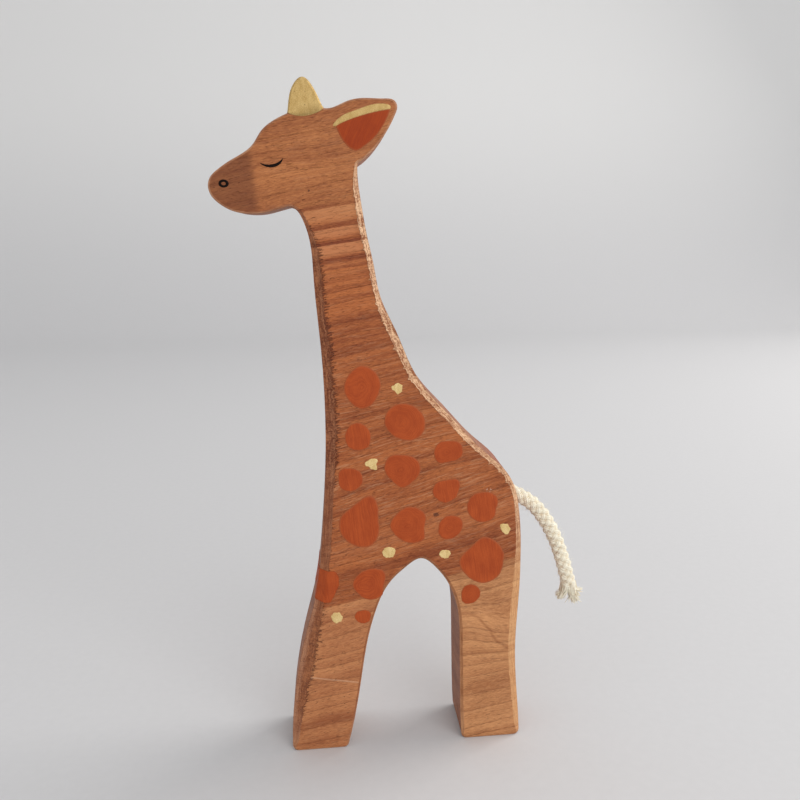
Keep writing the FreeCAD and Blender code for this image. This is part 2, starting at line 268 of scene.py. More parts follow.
def braid(line, run):
    """The strands along a line: points, faces, ends, and each point's crest value.

    A strand's distance from the line is a middle value plus a cosine that runs four times
    a turn, with opposite signs for the two hands. The crest value says how far out the strand
    is, from 0 in the hollows to 1 on the crests, and a little less on a strand's outer yarns;
    the cotton is painted darker by it, as painted shade in the hollows between strands.
    """
    side, up = line_frames(line)
    lines, outs, crest_shades = [], [], []
    for hand in (1, -1):
        for number in range(4):
            turn = hand * 2 * math.pi * run / BRAID_PITCH + number * math.pi / 2
            away = side * np.cos(turn)[:, None] + up * np.sin(turn)[:, None]
            over = hand * np.cos(8 * math.pi * run / BRAID_PITCH)
            reach = BRAID_MIDDLE + BRAID_SWING * over
            reach = reach * (1 + 0.03 * np.sin(run / MM * 0.9 + number * 2.1 + hand))
            strand = line + away * reach[:, None]
            wide = unit(np.cross(np.gradient(strand, axis=0), away))
            for place in YARNS_BESIDE:
                sink = abs(place) / YARNS_BESIDE[-1]
                lines.append(strand + wide * place * MM - away * sink * YARN_SINK)
                outs.append(away)
                crest_shades.append((over + 1) / 2 * (1 - 0.35 * sink))
    tubes = tube_bundle(np.array(lines), YARN_RADIUS, np.array(outs), flat=1.25,
                        sides=BRAID_SIDES)
    return *tubes, np.repeat(np.array(crest_shades).ravel(), BRAID_SIDES)


def joined(first, second):
    """Two meshes put together as one: points, quads, end faces and the crest values."""
    shift = len(first[0])
    return (np.vstack([first[0], second[0]]), np.vstack([first[1], second[1] + shift]),
            [*first[2], *(end + shift for end in second[2])],
            {"crest": np.concatenate([first[3], second[3]])})


core = tube_bundle(tail_line[None], CORE_RADIUS)
tail = make_piece("tail_braid", *joined(braid(tail_line, tail_run),
                                        (*core, np.zeros(len(core[0])))))
stand_in(tail, "tail_cord")
print("braid", len(tail.data.polygons), "faces")

# %% [markdown]
# Below the cord's end the plaits go on for a few millimetres, and then the cotton is loosened.
# Its yarns part into two locks, a short one to the front and a longer one behind, with a few
# wisps that stand off. Each yarn is a thin tapering tube on a line that leaves the last plait
# and bends towards its lock's tip.

# %% The tuft
tail_down = unit(tail_line[-1] - tail_line[-4])
last_run = tail_run[-1] + np.arange(-2, 12) * TAIL_STEP
last_line = tail_line[-1] + tail_down * (last_run - tail_run[-1])[:, None]
LOOSE_FROM = last_line[-1]
LOOSE_RADIUS = 0.17 * MM
LOOSE_SIDES = 6
rng = np.random.default_rng(7)
LOCKS = (  # tip from the last plait, number of yarns, spread at the tip
    ((-3.0, 0.0, -4.4), 170, 0.62),
    ((1.9, 0.0, -5.6), 270, 0.95),
    ((4.4, 0.1, -2.6), 16, 0.5),
)


def yarn_lines(tip, count, spread, seed, points=12):
    """Lines that leave the last plait side by side and gather towards one tip.

    Each is a quadratic curve from its root by a middle point to its own end near the tip, plus
    a small sine wave that grows towards the end.
    """
    r = np.random.default_rng(seed)
    t = np.linspace(0.0, 1.0, points)[None, :, None]
    turn = r.uniform(0, 2 * math.pi, count)
    reach = 2.0 * np.sqrt(r.uniform(0, 1, count))
    lean = 0.5 if tip[0] > 0 else -0.9
    root = np.stack([reach * np.cos(turn) * 0.8 + lean, reach * np.sin(turn),
                     np.full(count, 1.2)], axis=1)[:, None]
    target = np.array(tip) * np.stack([np.ones(count), np.ones(count),
                                       r.uniform(0.62, 1.06, count)], axis=1)
    target = (target + r.normal(0, spread, (count, 3)) * (1.0, 1.1, 0.35))[:, None]
    middle = root * (1.15, 1.15, 0.0) + np.array([0.0, 0.0, -2.0])
    lines = root * (1 - t) ** 2 + 2 * middle * t * (1 - t) + target * t ** 2
    wave = r.normal(0, 1, (count, 1, 3)) * np.sin(t * math.pi * r.uniform(1.5, 3.5, (count, 1, 1)))
    return (lines + wave * 0.25 * t) * MM + LOOSE_FROM


def tuft():
    """The last plaits and all the loose yarns below them, as one mesh."""
    lines = np.concatenate([yarn_lines(tip, count, spread, 40 + i)
                            for i, (tip, count, spread) in enumerate(LOCKS)])
    taper = np.linspace(1.0, 0.55, lines.shape[1])[None, :]
    radii = LOOSE_RADIUS * taper * rng.uniform(0.7, 1.25, (len(lines), 1))
    loose = tube_bundle(lines, radii, sides=LOOSE_SIDES)
    pale = np.repeat(rng.uniform(0.4, 1.0, len(lines)), lines.shape[1] * LOOSE_SIDES)
    return joined(braid(last_line, last_run), (*loose, pale))


tuft_piece = make_piece("tail_yarns", *tuft())
stand_in(tuft_piece, "tail_tuft")
print("tuft", len(tuft_piece.data.polygons), "faces")

# %% [markdown]
# Cotton sheds short hairs. A few hundred of them leave the braid outside the wood and curl
# over, which softens its outline. Then the cord's real length is printed.

# %% Loose fibres on the cord
FUZZ_FROM = 0.24                         # share of the line that lies in the wood, or near it
FUZZ_ROOT = 2.2 * MM
FUZZ_RADIUS = 0.016 * MM


def fuzz(line, count=620, points=6):
    """Short hairs that leave the braid's surface: straight out at first, then drifting off."""
    r = np.random.default_rng(11)
    side, up = line_frames(line)
    at = r.integers(int(FUZZ_FROM * len(line)), len(line) - 2, count)
    turn = r.uniform(0, 2 * math.pi, count)
    away = side[at] * np.cos(turn)[:, None] + up[at] * np.sin(turn)[:, None]
    t = np.linspace(0.0, 1.0, points)[None, :, None]
    length = r.uniform(0.5, 1.5, (count, 1, 1)) * MM
    drift = r.normal(0, 0.9, (count, 1, 3))
    root = (line[at] + away * FUZZ_ROOT)[:, None]
    lines = root + away[:, None] * length * (t - 0.45 * t ** 2) + drift * length * t ** 2 * 0.7
    return tube_bundle(lines, FUZZ_RADIUS, (0.0, 1.0, 0.1), sides=3)


hairs = fuzz(tail_line)
fuzz_piece = make_piece("tail_fuzz", *hairs, {"crest": np.ones(len(hairs[0]))})
print("cord", round(tail_run[-1] / MM, 1), "mm long")

# %% [markdown]
# The figure itself is sawn from a board, so its side wall stands square to its faces, and a
# knife took the edge off all round. It could be cut from a cube with modifiers, but the knife's
# bevel changes its width from place to place and crumbles where it meets the grain. So the
# whole skin is one profile carried round the sawn outline: near face, near bevel, side wall,
# far bevel, far face. The outline is read from the engineering board's own ring of vertices.

# %% Rings of vertices of an engineering piece
def rings(node, level):
    """Closed outlines (points as x, z) that a node has in the plane y = level.

    An outline's edges lie in the plane, and a face beside each of them leaves it.
    """
    work = bmesh.new()
    work.from_mesh(nodes[node].data)
    bmesh.ops.remove_doubles(work, verts=work.verts, dist=1e-6)
    flat = {v for v in work.verts if abs(v.co.y - level) < 2e-6}
    beside = {}
    for edge in work.edges:
        a, b = edge.verts
        if a in flat and b in flat and any(not flat.issuperset(f.verts) for f in edge.link_faces):
            beside.setdefault(a, []).append(b)
            beside.setdefault(b, []).append(a)
    found = []
    while beside:
        here = next(iter(beside))
        loop, before = [], None
        while here in beside:
            loop.append((here.co.x, here.co.z))
            onward = [v for v in beside.pop(here) if v is not before and v in beside]
            before, here = here, (onward[0] if onward else None)
        found.append(np.array(loop))
    work.free()
    return sorted(found, key=len, reverse=True)


def even_ring(loop, count):
    """A closed outline with its points at even steps, running anticlockwise in x, z."""
    closed = np.vstack([loop, loop[:1]])
    x, z = closed.T
    if (x[:-1] * z[1:] - x[1:] * z[:-1]).sum() < 0:
        closed = closed[::-1]
    run = run_along(closed)
    return read_line(closed, run, np.arange(count) * run[-1] / count)


def inwards(ring, reach):
    """Unit directions from an anticlockwise outline into it, smoothed over a reach of points."""
    way = unit(blur(np.roll(ring, -1, axis=0) - np.roll(ring, 1, axis=0), reach))
    return np.stack([-way[:, 1], way[:, 0]], axis=1)


board_low, board_high = (np.array(c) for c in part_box("giraffe_board"))
FACE_Y = board_high[1]
RIM_Y = FACE_Y - 2.2 * MM                # where the bevel ends and the sawn wall begins
STATIONS = 2600                          # points round the outline
sawn = max(rings("giraffe_board", -RIM_Y), key=len)
edge = blur(even_ring(sawn, STATIONS), 1.4)
inward = inwards(edge, 5.0)
print("outline", len(sawn), "points, step",
      round(np.linalg.norm(edge[1] - edge[0]) / MM, 3), "mm")

# %% [markdown]
# The knife worked differently on the back, the chest and the arch between the legs, so the
# outline is divided into these runs. They start and end at corners of the soles, at the throat
# and at the ear, and the horn is a run too.

# %% Parts of the outline
HORN_TALL = 9.5                          # mm from the crown to the horn's tip


def head(back, drop):
    """A point of the head, measured in mm back from the nose and down from the crown."""
    return np.array([board_low[0] + back * MM, board_high[2] - (HORN_TALL + drop) * MM])


def station(point):
    """The number of the outline point nearest to a point."""
    return int(np.argmin(np.linalg.norm(edge - point, axis=1)))


def stretch(first, last):
    """The numbers of the outline points from one to another, anticlockwise."""
    return np.arange(first, last + (STATIONS if last < first else 0) + 1) % STATIONS


SOLE_HEIGHT = 0.3 * MM
CORNER_HEIGHT = 1.6 * MM                 # a sole's corners are round up to here
low_points = edge[:, 1] < SOLE_HEIGHT
corner = {}
for foot, half in (("hind", edge[:, 0] > 0), ("front", edge[:, 0] < 0)):
    sole = edge[low_points & half, 0]
    corner[foot, "heel"] = station((sole.max(), CORNER_HEIGHT))
    corner[foot, "toe"] = station((sole.min(), CORNER_HEIGHT))
throat, ear_root = station(head(21.9, 24.9)), station(head(41.0, 13.3))
horn_front, horn_back = station(head(22.3, 0.0)), station(head(31.9, -1.4))
back_run = stretch(corner["hind", "heel"], ear_root)
chest_run = stretch(throat, corner["front", "toe"])
arch_run = stretch(corner["front", "heel"], corner["hind", "toe"])
print("back", len(back_run), "chest", len(chest_run), "arch", len(arch_run), "stations")

# %% [markdown]
# The knife went round by hand: the bevel is widest down the outer side of each leg, narrower
# over the rump, and hardly there round the head and under the feet. Its inner edge waves, and
# here and there the knife lifted a sliver of wood along the grain, which leaves a notch in the
# face.

# %% The bevel's width
# Each table gives heights above the floor and widths, in millimetres.
CHEST_BEVEL = ((0, 1.2), (3, 1.9), (7, 2.2), (17, 3.1), (30, 3.5), (45, 2.9), (60, 2.7),
               (80, 2.6), (100, 2.3), (120, 2.2), (145, 2.1), (153, 1.8), (159, 1.2), (166, 0.5))
BACK_BEVEL = ((0, 1.0), (2, 1.5), (8, 1.9), (15, 2.2), (30, 2.7), (45, 2.8), (55, 2.4),
              (64, 1.8), (75, 1.4), (85, 1.2), (95, 1.4), (110, 1.6), (130, 2.0), (145, 2.0),
              (160, 1.9), (170, 1.5), (176, 0.8))
HEAD_BEVEL = 0.45 * MM
SOLE_BEVEL = 0.35 * MM
ARCH_BEVEL = (0.5 * MM, 0.95 * MM)       # at the front leg's heel and at the hind leg's toe


def from_table(table, numbers):
    """Values at the given stations, from a table of heights in millimetres and values."""
    heights, values = np.array(table).T
    return np.interp(edge[numbers, 1] / MM, heights, values)


bevel = np.full(STATIONS, HEAD_BEVEL)
bevel[low_points] = SOLE_BEVEL
bevel[chest_run] = from_table(CHEST_BEVEL, chest_run) * MM
bevel[back_run] = from_table(BACK_BEVEL, back_run) * MM
bevel[arch_run] = np.linspace(*ARCH_BEVEL, len(arch_run))
bevel = blur(bevel, 6.0)

# %% How ragged the cut is
# Heights in millimetres again, and shares: 1 where the knife tore the wood most, and next to
# nothing in the arch, which was sanded.
CHEST_RAGGED = ((0, 0.2), (8, 0.4), (15, 0.8), (45, 0.8), (52, 0.3), (80, 0.4), (90, 0.9),
                (120, 1.0), (140, 1.0), (155, 0.9), (160, 0.5), (166, 0.1))
BACK_RAGGED = ((0, 0.15), (70, 0.15), (84, 0.5), (110, 0.7), (122, 1.0), (165, 1.0), (176, 0.3))
ARCH_RAGGED = 0.12
cut_share = np.zeros(STATIONS)
cut_share[chest_run] = from_table(CHEST_RAGGED, chest_run)
cut_share[back_run] = from_table(BACK_RAGGED, back_run)
cut_share[arch_run] = ARCH_RAGGED
cut_share = blur(cut_share, 8.0)


def slivers(seed, number, deepest):
    """Notches round the outline: exp(-distance / reach) peaks of random depth and reach."""
    r = np.random.default_rng(seed)
    at = r.integers(0, STATIONS, number)
    depth = deepest * r.beta(1.2, 3.5, number)
    reach = r.uniform(0.7, 2.2, number)
    away = (np.arange(STATIONS)[:, None] - at + STATIONS / 2) % STATIONS - STATIONS / 2
    lean = np.where(away > 0, 1.0, 0.55)
    return np.max(depth * np.exp(-np.abs(away) / (reach * lean)), axis=1)


def hand_cut(seed):
    """The bevel's width as cut: the planned width, waves of three lengths, and slivers."""
    waves = (0.09 * ripple(STATIONS, 22, seed) + 0.05 * ripple(STATIONS, 5, seed + 1)
             + 0.035 * ripple(STATIONS, 1.2, seed + 2))
    torn = slivers(seed + 3, 420, 1.2 * MM) + slivers(seed + 4, 40, 2.4 * MM)
    return bevel * (1 + cut_share * waves) + cut_share * torn

# %% [markdown]
# The profile runs from the near face over the bevel, down the wall and over the far bevel. Its
# points are given as shares: how far in from the outline, and how deep below the face. A
# flutter of a tenth of a millimetre leaves the small flats of a knife on the bevel.

# %% The skin of the board
BEVEL_STEPS = np.array([1.0, 0.94, 0.80, 0.62, 0.44, 0.26, 0.10, 0.0])
WALL_STEPS = np.linspace(-1.0, 1.0, 13)[1:-1]
BEVEL_SLOPE = 0.85                       # depth of the bevel for its width
FACE_MARGIN = 0.12 * MM                  # from the cut to the face's next ring of points
TORN_REACH = 1.9 * MM                    # how far torn grain runs into the face


def flutter(seed, rows, reach, size):
    """Random dents over a closed strip of rows x stations."""
    r = np.random.default_rng(seed)
    field = np.stack([blur(row, reach) for row in r.normal(size=(rows, STATIONS))])
    return size * field / field.std()


def face_side(side, seed):
    """Rows from the face over one bevel: two rings in the face, and the knifed strip below.

    A row at share s lies cut * s^1.25 inwards and depth * (1 - s) down, and small dents, most
    of all halfway, push it further both ways.
    """
    cut = hand_cut(seed)
    rows_in = [cut + FACE_MARGIN + TORN_REACH * cut_share, cut + FACE_MARGIN]
    rows_deep = [np.zeros(STATIONS)] * 2
    dents = np.abs(flutter(seed + 9, len(BEVEL_STEPS), 1.3, 0.07 * MM)) * cut_share
    dents += np.abs(flutter(seed + 10, 1, 9.0, 0.12 * MM)) * cut_share
    depth = bevel * BEVEL_SLOPE * (1 + 0.08 * ripple(STATIONS, 30, seed + 20) * cut_share)
    for share, dent in zip(BEVEL_STEPS, dents):
        middle = 4 * share * (1 - share)
        rows_in.append(cut * share ** 1.25 + dent * middle * 0.8)
        rows_deep.append(depth * (1 - share) + dent * middle)
    ring = edge[None] + inward[None] * np.array(rows_in)[:, :, None]
    return stand_up(ring, side * (FACE_Y - np.array(rows_deep)))


def board_skin():
    """All rows of the skin, near face ring first, far face ring last."""
    near, far = face_side(-1, 100), face_side(1, 300)[::-1]
    saw = np.abs(flutter(500, len(WALL_STEPS), 2.0, 0.02 * MM))
    wall = edge[None] + inward[None] * saw[:, :, None]
    share = (WALL_STEPS[:, None] + 1) / 2
    y = near[-1, :, 1] * (1 - share) + far[0, :, 1] * share
    return np.concatenate([near, stand_up(wall, y), far])


skin = board_skin()
ROWS = len(skin)
print("skin", ROWS, "rows,", STATIONS, "stations")

# %% [markdown]
# The finish differs from face to bevel to wall, so the skin keeps values on its points: where
# the knife cut, where the sawn wall is, how bare the cut is, which also sets its painted
# highlight and shade, how crumbled it is, and where grain tore out of the face beside it. Two
# more are places along the outline and below the face.

# %% The board with its values
BEVEL_ROWS = len(BEVEL_STEPS) + 2        # a bevel's rows and the two beside it in the face
PATTERN_STEP = 0.25                      # from station to station in mm, near enough for a pattern


def on_rows(rows, values):
    """A value for each point of the skin: the given ones on some rows, 0 on the others."""
    grid = np.zeros((ROWS, STATIONS))
    grid[rows] = values
    return grid


# 1 is the back's cut: pale bare wood with a painted highlight; 0 the chest's old dark cut, painted
# darker as shade.
bare_and_lit = np.full(STATIONS, 0.45)           # 1 is fresh pale wood, 0 a dark old cut
bare_and_lit[back_run] = 1.0
bare_and_lit[chest_run] = 0.1
bare_and_lit[arch_run] = np.linspace(0.08, 0.5, len(arch_run))
inner = np.concatenate([[1.0, 1.0], BEVEL_STEPS])
inner = np.concatenate([inner, np.zeros(ROWS - 2 * BEVEL_ROWS), inner[::-1]])
from_middle = np.abs(np.arange(STATIONS) - STATIONS / 2)
skin_values = {
    "cut": on_rows(slice(2, -2), 1.0),
    "wall": on_rows(slice(BEVEL_ROWS - 1, 1 - BEVEL_ROWS), 1.0),
    "torn": on_rows([1, -2], cut_share),
    "bare_and_lit": on_rows(slice(None), blur(bare_and_lit, 14.0)),
    "crumbled": on_rows(slice(None), cut_share),
    "inner": on_rows(slice(None), inner[:, None]),
    "run": on_rows(slice(None), from_middle * PATTERN_STEP),
    "depth": (skin[:, :, 1] + FACE_Y) / MM,
}
around = np.arange(STATIONS) * ROWS
board = make_piece("giraffe", skin.transpose(1, 0, 2).reshape(-1, 3),
                   grid_faces(STATIONS, ROWS, around=True), [around, (around + ROWS - 1)[::-1]],
                   {name: values.T for name, values in skin_values.items()})
print("board", len(board.data.vertices), "vertices,", ROWS, "rows")

# %% [markdown]
# The tail sits in a blind hole drilled into the rump, a little wider than the cord. A Boolean
# cuts it. The drill is a plain cylinder, which is right for once: a drill leaves just that.

# %% The bore
BORE_RADIUS = 2.9 * MM
BORE_DEPTH = 9.1 * MM
DRILL_SIDES = 64
SHARP_ANGLE = math.radians(28)           # edges steeper than this stay sharp in the shading


def drill(exit_point, way, radius, depth):
    """A closed cylinder along a direction, from the hole's bottom to well outside the wood."""
    n = np.arange(DRILL_SIDES)
    turn = n * 2 * math.pi / DRILL_SIDES
    up = Vector((0, 1, 0)).cross(way)
    ends = [np.array(exit_point - way * depth), np.array(exit_point + way * 2.5 * radius)]
    circle = np.outer(np.cos(turn), (0, 1, 0)) * radius + np.outer(np.sin(turn), up) * radius
    points = np.vstack([end + circle for end in ends])
    after = (n + 1) % DRILL_SIDES
    walls = np.stack([n, after, after + DRILL_SIDES, n + DRILL_SIDES], axis=-1).tolist()
    return new_mesh("drill", points, walls + [n[::-1].tolist(), (n + DRILL_SIDES).tolist()])


bit = new_object("drill", drill(TAIL_EXIT, tail_way, BORE_RADIUS, BORE_DEPTH))
boring = board.modifiers.new("bore", "BOOLEAN")
boring.operation, boring.object, boring.solver = "DIFFERENCE", bit, "EXACT"
bored = bpy.data.meshes.new_from_object(board.evaluated_get(
    bpy.context.evaluated_depsgraph_get()))
board.modifiers.clear()
board.data = bored
board.data.name = "giraffe"
bpy.data.objects.remove(bit)
bored.polygons.foreach_set("use_smooth", [True] * len(bored.polygons))
bored.set_sharp_from_angle(angle=SHARP_ANGLE)
stand_in(board, "giraffe_board")
print("bored", len(bored.polygons), "faces,", len(bored.vertices), "vertices")

# %% [markdown]
# Every spot is a coat of paint a sixth of a millimetre thick, with a soft round edge where the
# brush left a little more. A film is a grid in polar form: rings shrink from the outline to the
# middle, and a profile lifts them off the wood. The outlines come from the engineering films.

# %% Films of paint
# How large each ring is, and how high it stands, both as shares of the whole.
FILM_SHARES = np.array([1.0, 1.0, 0.985, 0.955, 0.90, 0.80, 0.62, 0.42, 0.22, 0.06])
FILM_HEIGHTS = np.array([-0.15, 0.15, 0.42, 0.75, 0.96, 1.0, 0.97, 0.95, 0.96, 0.97])
FILM_RINGS = len(FILM_SHARES)
SWIRL_PITCH = 5.0                        # brush marks round a spot, from its middle to its rim


def coat_of(node):
    """A painted node's side (-1 near, 1 far), its thickness and its outlines."""
    low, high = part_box(node)
    side = 1 if high[1] > FACE_Y else -1
    thick = max(high[1], -low[1]) - FACE_Y
    return side, thick, rings(node, side * (FACE_Y + thick))


def film(node, piece_name, wobble=0.05, count=144):
    """A coat inside a node's outline: rings towards the middle, lifted by the edge profile."""
    side, thick, outlines = coat_of(node)
    seed = sum(map(ord, node))
    outline = even_ring(outlines[0], count)
    outline = blur(outline, 0.8) - inwards(outline, 2.0) * wobble * MM * (
        ripple(count, 1.6, seed) + 0.7 * ripple(count, 6.0, seed + 1))[:, None] * 0.7
    middle = outline.mean(axis=0)
    flat = middle + (outline - middle)[None] * FILM_SHARES[:, None, None]
    lift = thick * FILM_HEIGHTS[:, None] * (1 + 0.05 * ripple(count, 5.0, seed + 2)[None])
    y = side * (FACE_Y + np.broadcast_to(lift, flat.shape[:2]))
    points = stand_up(flat, y).transpose(1, 0, 2)
    rim = np.arange(count) * FILM_RINGS
    piece = make_piece(piece_name, points.reshape(-1, 3), grid_faces(count, FILM_RINGS, around=True),
                       [rim, (rim + FILM_RINGS - 1)[::-1]],
                       {"edge": np.tile(FILM_SHARES, (count, 1)),
                        "ring": np.tile(FILM_SHARES * SWIRL_PITCH, (count, 1)),
                        "swirl": np.full(points.shape[:2], float(seed % 2))})
    return stand_in(piece, node)


sides = ("left", "right")
spots = [film(n, n.replace("spot_", "patch_"))
         for n in nodes if n.startswith("spot_") and "foreleg_edge" not in n]
dots = [film(n, n.replace("dot_", "gold_"), wobble=0.12, count=72)
        for n in nodes if n.startswith("dot_")]
linings = [film("ear_lining_" + s, "ear_inside_" + s, 0.03, 200)
           for s in sides]
print(len(spots), "spots,", len(dots), "dots,", len(linings), "ear linings")

# %% [markdown]
# The eyes, the nostrils and the gold on the ears are each one touch of the brush. A stroke is
# a grid between two edges, highest along its middle, closed by a flat underside in the wood.

# %% Strokes between two edges
NOSTRIL_HOLE = 0.72                      # the ring's hole, as a share of the engineering one's
STROKE_SHARP = math.radians(60)


def stroke(node, piece_name, ring_shaped=False, count=90, across=9):
    """A brush stroke: a grid between two edges, its height 1 - w^6 for w from -1 to 1 across.

    An open stroke's edges run between its two ends, a ring's are its two outlines.
    """
    side, thick, found = coat_of(node)
    if ring_shaped:
        first, second = (even_ring(r, count) for r in sorted(found, key=np.ptp)[::-1])
        start = np.argmin(np.linalg.norm(second - first[0], axis=1))
        second = np.roll(second, -start, axis=0)
        second = second.mean(axis=0) + (second - second.mean(axis=0)) * NOSTRIL_HOLE
    else:
        loop = even_ring(found[0], 4 * count)
        left, right = np.argmin(loop[:, 0]), np.argmax(loop[:, 0])
        lower = np.roll(loop, -left, axis=0)[:(right - left) % len(loop) + 1]
        upper = np.roll(loop, -right, axis=0)[:(left - right) % len(loop) + 1][::-1]
        step = np.linspace(0, 1, count)
        first, second = (read_line(s, np.linspace(0, 1, len(s)), step) for s in (lower, upper))
    share = (1 - np.cos(np.linspace(0, math.pi, across))) / 2
    flat = first[:, None] * (1 - share[:, None]) + second[:, None] * share[:, None]
    arch = (1 - (2 * share - 1) ** 6)[None] * np.ones((count, 1))
    if not ring_shaped:
        arch = arch * (1 - np.abs(np.linspace(-1, 1, count))[:, None] ** 12)
    points, rows = [], []
    for lift in (arch * 1.15 - 0.1, np.full_like(arch, -0.15)):
        y = side * (FACE_Y + thick * lift)
        points.append(stand_up(flat, y).reshape(-1, 3))
        rows.append(grid_faces(count, across, around=ring_shaped) + len(rows) * count * across)
    index = np.arange(2 * count * across).reshape(2, count, across)
    if ring_shaped:
        rims = [index[:, :, 0], index[:, :, -1]]
        rims = [np.hstack([r, r[:, :1]]) for r in rims]
    else:
        rims = [np.hstack([index[:, :, 0], index[:, -1, 1:], index[:, ::-1, -1][:, 1:],
                           index[:, 0, ::-1][:, 1:]])]
    rows += [np.stack([r[0, :-1], r[0, 1:], r[1, 1:], r[1, :-1]], axis=-1) for r in rims]
    piece = make_piece(piece_name, np.vstack(points), np.vstack(rows))
    piece.data.set_sharp_from_angle(angle=STROKE_SHARP)
    return stand_in(piece, node)


crescents = [stroke("ear_crescent_" + s, "ear_gold_" + s) for s in sides]
eyes = [stroke("eye_line_" + s, "eye_" + s) for s in sides]
nostrils = [stroke("nostril_" + s, "nostril_ring_" + s, ring_shaped=True)
            for s in sides]
print("ear gold, eyes and nostrils done")

# %% [markdown]
# Two coats go round an edge: the gold on the horn, which covers both faces and the sawn edge
# between them, and one spot that runs off the face of the front leg and over its bevel. Both
# take their points from the board's own skin, so that they follow each knife mark, and a
# Solidify modifier gives them the thickness of paint.

# %% The gold on the horn
HORN_COAT = 0.12 * MM
SAG = 1.1 * MM                           # how far the gold's lower edge hangs down


def thick_coat(piece, thickness):
    """Paint of the given thickness on the outer side of a skin."""
    coat = piece.modifiers.new("coat", "SOLIDIFY")
    coat.thickness = thickness
    coat.offset = 1.0


def horn_coat():
    """The board's rows over the horn, and on each face a flat piece down to a sagging line.

    The line is straight from end to end, less 4t(1 - t) times the sag.
    """
    numbers = stretch(horn_back, horn_front)
    strip = skin[:, numbers].transpose(1, 0, 2)
    count = len(numbers)
    t = np.linspace(0, 1, 26)[1:-1, None]
    sag = np.array([0, 0, -SAG]) * (4 * t * (1 - t))
    points, extra = [strip.reshape(-1, 3)], []
    for number, row in enumerate((0, ROWS - 1)):
        points.append(strip[-1, row] * (1 - t) + strip[0, row] * t + sag)
        base = count * ROWS + number * len(t)
        extra.append(np.concatenate([np.arange(count) * ROWS + row, base + np.arange(len(t))]))
    return make_piece("horn_gold", np.vstack(points), grid_faces(count, ROWS),
                      [extra[0], extra[1][::-1]])


horn = horn_coat()
horn.data.set_sharp_from_angle(angle=SHARP_ANGLE)
thick_coat(horn, HORN_COAT)
stand_in(horn, "horn_gilding")
print("horn", len(horn.data.polygons), "faces")

# %% [markdown]
# The spot over the edge is a grid too. Each of its rows starts on the face, goes down over the
# bevel and ends on the sawn wall, and the rows are shorter at both ends, so it is an oval.

# %% The spot over the edge
def points_along(lines, at):
    """Points at distances `at` (steps x lines) along lines given as points x lines x 3."""
    leg = np.linalg.norm(np.diff(lines, axis=0), axis=2)
    walk = np.concatenate([np.zeros((1, leg.shape[1])), np.cumsum(leg, axis=0)])
    before = np.clip((walk[None] <= at[:, None]).sum(axis=1) - 1, 0, len(leg) - 1)
    share = (at - np.take_along_axis(walk, before, 0)) / np.take_along_axis(leg, before, 0)
    share = np.clip(share, 0.0, 1.0)[..., None]
    here, after = (np.take_along_axis(lines, (before + k)[..., None], 0) for k in (0, 1))
    return here * (1 - share) + after * share


PATCH_ROUND = 4.5 * MM                   # how much shorter the patch is at its two ends
PATCH_ROWS = len(BEVEL_STEPS) + 6
PATCH_STEPS = 28
PATCH_COAT = 0.15 * MM


def edge_patch(side):
    """A patch over the front leg's edge, on the face, the bevel and a little of the wall.

    Each station's profile is a line from the spot's edge on the face to its end on the wall,
    and the patch takes points along it at even shares of its length.
    """
    hand = "left" if side < 0 else "right"
    node = "spot_foreleg_edge_" + hand
    low, high = (np.array(c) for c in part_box(node))
    run = chest_run[(edge[chest_run, 1] > low[2] + 0.15 * MM)
                    & (edge[chest_run, 1] < high[2] - 0.15 * MM)]
    outline = rings(node, side * max(high[1], -low[1]))[0]
    beside = np.abs(outline[:, 1] - edge[run, 1][:, None]) < 0.8 * MM
    reach = np.where(beside, outline[:, 0], low[0]).max(axis=1)
    rows = skin[1:, run] if side < 0 else skin[-2::-1, run]
    start = rows[:1].copy()
    start[0, :, 0] = np.maximum(rows[0, :, 0] + 0.05 * MM, reach)
    line = np.concatenate([start, rows[:PATCH_ROWS]])
    whole = np.linalg.norm(np.diff(line, axis=0), axis=2).sum(axis=0)
    oval = np.sqrt(1 - np.linspace(-1, 1, len(run)) ** 2)
    last = np.maximum(whole - PATCH_ROUND * (1 - oval), 0.4 * MM)
    patch = points_along(line, np.linspace(0.0, 1.0, PATCH_STEPS)[:, None] * last)
    piece = make_piece("patch_foreleg_edge_" + hand, patch.transpose(1, 0, 2).reshape(-1, 3),
                       grid_faces(len(run), PATCH_STEPS), outward=False)
    mesh = piece.data
    mesh.update()
    normal = np.array([p.normal[:] for p in mesh.polygons]).mean(axis=0)
    if normal[1] * side < 0:
        mesh.flip_normals()
    thick_coat(piece, PATCH_COAT)
    return stand_in(piece, node)


edge_spots = [edge_patch(-1), edge_patch(1)]
print("edge spots done")

# %% [markdown]
# Finishes are node materials. Shader maths reads like arithmetic here: a small class wraps a
# socket, and each operator adds the Math node that does it. Every other node comes from one
# method, which sets the node's options first and then its sockets. Places are in millimetres.

# %% A class for shader sockets
MM_IN_METRE = 1000.0


class Wire:
    """A node's output that can be used in arithmetic."""

    def __init__(self, finish, socket):
        self.finish, self.socket = finish, socket

    def sum(self, operation, *values):
        return self.finish.node("ShaderNodeMath", {"operation": operation}, *values)

    def __add__(self, other): return self.sum("ADD", self, other)
    def __radd__(self, other): return self.sum("ADD", other, self)
    def __sub__(self, other): return self.sum("SUBTRACT", self, other)
    def __rsub__(self, other): return self.sum("SUBTRACT", other, self)
    def __mul__(self, other): return self.sum("MULTIPLY", self, other)
    def __rmul__(self, other): return self.sum("MULTIPLY", other, self)
    def __truediv__(self, other): return self.sum("DIVIDE", self, other)
    def __rpow__(self, other): return self.sum("POWER", other, self)

    def step(self, low, high):
        """0 below low, 1 above high, smooth between. With low above high it falls instead."""
        if low > high:
            return 1 - self.step(high, low)
        return self.finish.node("ShaderNodeMapRange", {"interpolation_type": "SMOOTHSTEP"},
                                self, low, high, 0.0, 1.0)

    def bell(self, middle, reach):
        """1 at the middle, falling to a third at the reach."""
        away = (self - middle) * (1.0 / reach)
        return 2.718 ** (away * away * -1.0)


